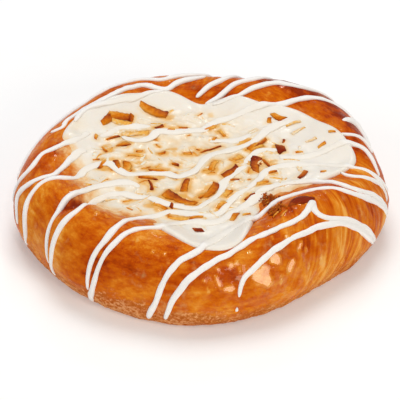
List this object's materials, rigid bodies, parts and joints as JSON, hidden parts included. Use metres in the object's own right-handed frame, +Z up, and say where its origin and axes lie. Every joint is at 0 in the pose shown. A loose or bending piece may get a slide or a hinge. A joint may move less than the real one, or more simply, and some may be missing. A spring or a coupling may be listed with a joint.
{
  "type": "coconut cream snail danish",
  "caption": "Round coiled sweet pastry with a pool of cream in the middle, toasted coconut on the cream and piped icing lines across the top.",
  "frame": {"origin": "middle of the flat underside", "axes": "+Z up through the pastry, -Y towards the side that faces the viewer in the picture"},
  "size_m": [0.1263, 0.1221, 0.0318],
  "materials": {
    "crust": "golden brown baked dough under clear glaze, with white icing lines",
    "cream": "soft white cream with toasted coconut and white icing lines"
  },
  "bodies": {
    "root": {"pastry": "crust", "cream": "cream"}
  },
  "joints": []
}
